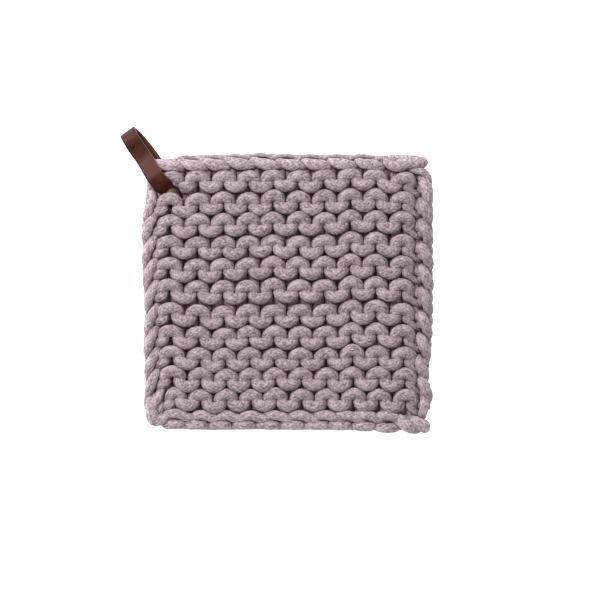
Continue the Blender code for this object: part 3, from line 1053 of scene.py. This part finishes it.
# The heather: how much the plaits, flecks and fibres each count, and the colours along their sum. Columns:
# place along the sum, colour.
PLAIT_SHARE = 0.16
FLECK_SHARE = 0.56
FIBRE_SHARE = 0.3
HEATHER = (
    (0.36, (0.17, 0.105, 0.125)),
    (0.45, (0.32, 0.24, 0.265)),
    (0.53, (0.43, 0.34, 0.37)),
    (0.66, (0.58, 0.48, 0.51)),
)
MOTTLE_SHARE = 0.25
MOTTLE = (0.37, 0.31, 0.315)

# The cord's relief, and how much the plaits and the flecks each count in it.
CORD_RELIEF = 0.4
PLAIT_RELIEF = 0.8
FLECK_RELIEF = 1.6

# Painted shade: how far a crevice's walls may stand apart to darken it. Columns: openness, share of the
# colour.
PAINTED_SHADE_REACH = 6.0
PAINTED_CREVICE_SHADES = (
    (0.1, (0.2, 0.1, 0.14)),
    (0.34, (0.62, 0.5, 0.55)),
    (0.7, WHITE),
)
# How much lighter the cord of three edges is painted, as painted light.
EDGE_PAINTED_LIGHTNESS = 1.2


def cotton_material(name, lightness=1.0):
    """Heather cotton cord: a fine diamond braid of light and dark mauve fibres, with painted shade down in
    crevices.
    """
    nodes = Nodes(name)
    along, around, _ = nodes.map("cord")
    # The braid: plaits wind round the cord both ways and cross in diamonds.
    lengthwise = nodes.math("MULTIPLY", along, BRAID_PLAITS)
    winding = nodes.math("MULTIPLY", around, BRAID_TURNS)
    first = nodes.math("ADD", lengthwise, winding)
    second = nodes.math("SUBTRACT", lengthwise, winding)
    plaits = nodes.chance(nodes.vector(nodes.math("FLOOR", first), nodes.math("FLOOR", second)))
    turns = [nodes.math("MULTIPLY", nodes.math("FRACT", way), math.pi) for way in (first, second)]
    crowns = [nodes.math("SINE", turn) for turn in turns]
    relief = nodes.math("SQRT", nodes.math("MULTIPLY", *crowns))
    # The heather: flecks and fibres in the cord's own round space, in millimetres.
    angle = nodes.math("MULTIPLY", around, 2 * math.pi)
    length = nodes.math("MULTIPLY", along, MAP_UNIT)
    aside = nodes.math("MULTIPLY", nodes.math("COSINE", angle), YARN_RADIUS)
    above = nodes.math("MULTIPLY", nodes.math("SINE", angle), YARN_RADIUS)
    place = nodes.vector(length, aside, above)
    flecks = nodes.noise(place, scale=0.8, detail=1.0)
    fibres = nodes.noise(place, scale=2.2, roughness=0.6)
    mottle = nodes.noise(place, scale=0.2)
    heather = nodes.math("MULTIPLY", plaits, PLAIT_SHARE)
    heather = nodes.math("ADD", heather, nodes.math("MULTIPLY", flecks, FLECK_SHARE))
    heather = nodes.math("ADD", heather, nodes.math("MULTIPLY", fibres, FIBRE_SHARE))
    color = nodes.ramp(heather, [(share, tuple(np.multiply(tone, lightness))) for share, tone in HEATHER])
    color = nodes.mix(nodes.math("MULTIPLY", mottle, MOTTLE_SHARE), color, MOTTLE)
    # Painted shade in the braid's dips, and painted light on its crowns.
    painted_braid_shade = nodes.math("ADD", PAINTED_DIP_SHADE, nodes.math("MULTIPLY", relief, PAINTED_CROWN_LIGHT))
    color = nodes.mix(1.0, color, nodes.ramp(painted_braid_shade, ((0.0, BLACK), (1.0, WHITE))), "MULTIPLY")
    # Painted shade down in crevices, by how open each place is.
    painted_crevice_shade = nodes.add("ShaderNodeAmbientOcclusion", samples=8)
    painted_crevice_shade.inputs["Distance"].default_value = PAINTED_SHADE_REACH * MM
    color = nodes.mix(1.0, color, nodes.ramp(painted_crevice_shade.outputs["AO"], PAINTED_CREVICE_SHADES), "MULTIPLY")
    height = nodes.math("MULTIPLY", relief, PLAIT_RELIEF)
    height = nodes.math("ADD", height, nodes.math("MULTIPLY", flecks, FLECK_RELIEF))
    nodes.set(Base_Color=color, Roughness=0.95, Sheen_Weight=0.12, Sheen_Roughness=0.6)
    return nodes.set(Normal=nodes.bump(height, CORD_RELIEF * MM))


LEATHER_TONES = (
    (0.32, (0.052, 0.0145, 0.008)),
    (0.7, (0.1, 0.032, 0.021)),
)
# Columns: place from the strap's middle to its side, share of the colour.
SIDE_SHADES = (
    (0.8, WHITE),
    (0.95, (0.5, 0.46, 0.44)),
)
# One side is rubbed to tan where both of these are white. Columns: place across or along the strap, share.
TAN = (0.2, 0.1, 0.065)
RUBBED_SIDE = ((0.9, BLACK), (0.96, WHITE))
RUBBED_RUN = ((0.16, BLACK), (0.24, WHITE))
# Painted shade: the end at the rivet, down in the knit, is darker. Columns: place along the strap, share of
# the colour.
PAINTED_END_SHADES = (
    (0.07, (0.35, 0.3, 0.28)),
    (0.12, WHITE),
)
# The unit of the places along the strap, which count from its upper end.
RUN_UNIT = 100.0

# The leather's relief, and how much the grain and the pores each count in it.
LEATHER_RELIEF = 0.05
GRAIN_RELIEF = 0.7
PORE_RELIEF = 0.4


def leather_material():
    """Brown leather: a pebbled grain, darker towards its sides, one side's cut edge rubbed to tan, and
    painted shade at the rivet end.
    """
    nodes = Nodes("brown leather")
    place = nodes.add("ShaderNodeTexCoord").outputs["Object"]
    along, aside, _ = nodes.map("cord")
    tone = nodes.noise(place, scale=90.0, detail=4.0, roughness=0.6)
    grain = nodes.cells(place, scale=1900.0)
    pores = nodes.noise(place, scale=5200.0)
    side = nodes.math("MULTIPLY", aside, MAP_UNIT / (STRAP_WIDTH / 2))
    run = nodes.math("MULTIPLY", along, MAP_UNIT / RUN_UNIT)
    color = nodes.ramp(tone, LEATHER_TONES)
    color = nodes.mix(1.0, color, nodes.ramp(nodes.math("ABSOLUTE", side), SIDE_SHADES), "MULTIPLY")
    rubbed = [nodes.split(nodes.ramp(*way))[0] for way in ((side, RUBBED_SIDE), (run, RUBBED_RUN))]
    color = nodes.mix(nodes.math("MULTIPLY", *rubbed), color, TAN)
    # Painted shade at the strap's end by the rivet.
    color = nodes.mix(1.0, color, nodes.ramp(run, PAINTED_END_SHADES), "MULTIPLY")
    rough = nodes.math("ADD", 0.4, nodes.math("MULTIPLY", tone, 0.16))
    height = nodes.math("MULTIPLY", grain, GRAIN_RELIEF)
    height = nodes.math("ADD", height, nodes.math("MULTIPLY", pores, PORE_RELIEF))
    nodes.set(Base_Color=color, Roughness=rough, Specular_IOR_Level=0.12)
    return nodes.set(Normal=nodes.bump(height, LEATHER_RELIEF * MM))


BRASS_TONES = (
    (0.35, (0.06, 0.046, 0.027)),
    (0.7, (0.145, 0.112, 0.07)),
)
BRASS_RELIEF = 0.03


def brass_material():
    """Brass with a dull olive patina and fine rubbed marks."""
    nodes = Nodes("aged brass")
    place = nodes.add("ShaderNodeTexCoord").outputs["Object"]
    patina = nodes.noise(place, scale=420.0, detail=3.0, roughness=0.6)
    marks = nodes.noise(place, scale=3000.0, roughness=0.6)
    rough = nodes.math("ADD", 0.45, nodes.math("MULTIPLY", patina, 0.25))
    nodes.set(Base_Color=nodes.ramp(patina, BRASS_TONES), Metallic=0.6, Roughness=rough)
    return nodes.set(Normal=nodes.bump(marks, BRASS_RELIEF * MM))


FLOOR_TONES = (
    (0.0, (0.93, 0.93, 0.93)),
    (1.0, (0.97, 0.97, 0.97)),
)


def floor_material():
    """A pale floor that glows, so it is evenly light."""
    nodes = Nodes("pale floor")
    grain = nodes.noise(nodes.add("ShaderNodeTexCoord").outputs["Object"], scale=40.0)
    nodes.set(Base_Color=nodes.ramp(grain, FLOOR_TONES), Roughness=0.9)
    return nodes.set(Emission_Color=(*WHITE, 1.0), Emission_Strength=1.0)


# ---- Pieces ----

COTTON = cotton_material("heather cotton")
# Painted light: the cord of three edges, on the top, left and bottom, is drawn a little lighter.
EDGE_LIT_COTTON = cotton_material("edge-lit heather cotton", EDGE_PAINTED_LIGHTNESS)


def add_knit_piece(name, strands, over_the_end=False, material=COTTON):
    """A padded piece of the knit, which stands for the CAD panel with the others."""
    piece = cord_object(name, strands, over_the_end)
    piece.data.materials.append(material)
    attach(piece, "root")
    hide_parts("knit_panel")


for row in range(2 * len(RIDGES)):
    add_knit_piece(f"knit_row_{row + 1:02d}", [row_strand(row)], row == ROW_OVER_THE_END)

left_edge = side_edge(LEFT_STRAND, RIDGES[1:-2], BACK_RIDGES[2:-2], LEFT_LEAN_HEIGHTS, LEFT_LEAN)
left_filling = [strand(filling) for filling in (LEFT_FILLING, LOW_LEFT_FILLING, RIVET_FILLING)]
add_knit_piece("left_side_edge", left_edge + left_filling, material=EDGE_LIT_COTTON)
right_edge = side_edge(RIGHT_STRAND, RIDGES[1:-1], BACK_RIDGES[2:-1], RIGHT_LEAN_HEIGHTS, RIGHT_LEAN)
add_knit_piece("right_side_edge", [*right_edge, strand(RIGHT_FILLING)])

rope, bumps = cast_on_edge()
add_knit_piece("cast_on_edge", rope, material=EDGE_LIT_COTTON)
add_knit_piece("cast_on_rim", bumps, material=EDGE_LIT_COTTON)
add_knit_piece("cast_off_edge", cast_off_edge(), material=EDGE_LIT_COTTON)

for piece, material, slot, node in (
    (strap_object("leather_strap"), leather_material(), "leather", "leather_loop"),
    (rivet_object("domed_rivet"), brass_material(), "rivet", "rivet"),
):
    piece.data.materials.append(material)
    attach(piece, "root")
    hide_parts(node)

# ---- Floor, lights and camera ----

# The floor and the lights are in metres and watts. Columns: name, place, size, power.
FLOOR_SIZE = 6.0
LIGHTS = (
    ("key", (-0.75, 0.85, 1.4), 0.55, 25.5),
    ("low", (-1.1, 1.5, 0.5), 0.7, 13.0),
    ("top", (0.0, 0.1, 1.9), 1.0, 5.0),
)
WORLD_STRENGTH = 0.35


def add_floor():
    bpy.ops.mesh.primitive_plane_add(size=FLOOR_SIZE)
    floor = bpy.context.object
    floor.name = "floor"
    floor.data.materials.append(floor_material())


def add_light(name, place, size, power):
    """A round soft light that shines on the middle of the pot holder."""
    data = bpy.data.lights.new(name, "AREA")
    data.shape = "DISK"
    data.size = size
    data.energy = power
    light = bpy.data.objects.new(name, data)
    light.location = place
    light.rotation_euler = (-Vector(place)).to_track_quat("-Z", "Y").to_euler()
    bpy.context.scene.collection.objects.link(light)


add_floor()
for light in LIGHTS:
    add_light(*light)

world = bpy.data.worlds.new("studio")
world.use_nodes = True
background = world.node_tree.nodes["Background"]
background.inputs["Color"].default_value = (*WHITE, 1.0)
background.inputs["Strength"].default_value = WORLD_STRENGTH
bpy.context.scene.world = world
bpy.context.scene.view_settings.view_transform = "Standard"

# The photo's frame: how wide it is at the knit's height, and the place in the knit under its middle.
FRAME_WIDTH = 420.0
FRAME_MIDDLE = (110.6, 92.4)
CAMERA_HEIGHT = 1800.0
# In metres.
CLIP_END = 20.0

camera_data = bpy.data.cameras.new("camera")
camera = bpy.data.objects.new("camera", camera_data)
bpy.context.scene.collection.objects.link(camera)
bpy.context.scene.camera = camera
camera.location = Vector((*np.subtract(FRAME_MIDDLE, MIDDLE_OF_OUTLINE), CAMERA_HEIGHT)) * MM
camera_data.sensor_fit = "HORIZONTAL"
camera_data.angle = 2 * math.atan(FRAME_WIDTH / 2 / (CAMERA_HEIGHT - KNIT_MIDDLE))
camera_data.clip_end = CLIP_END
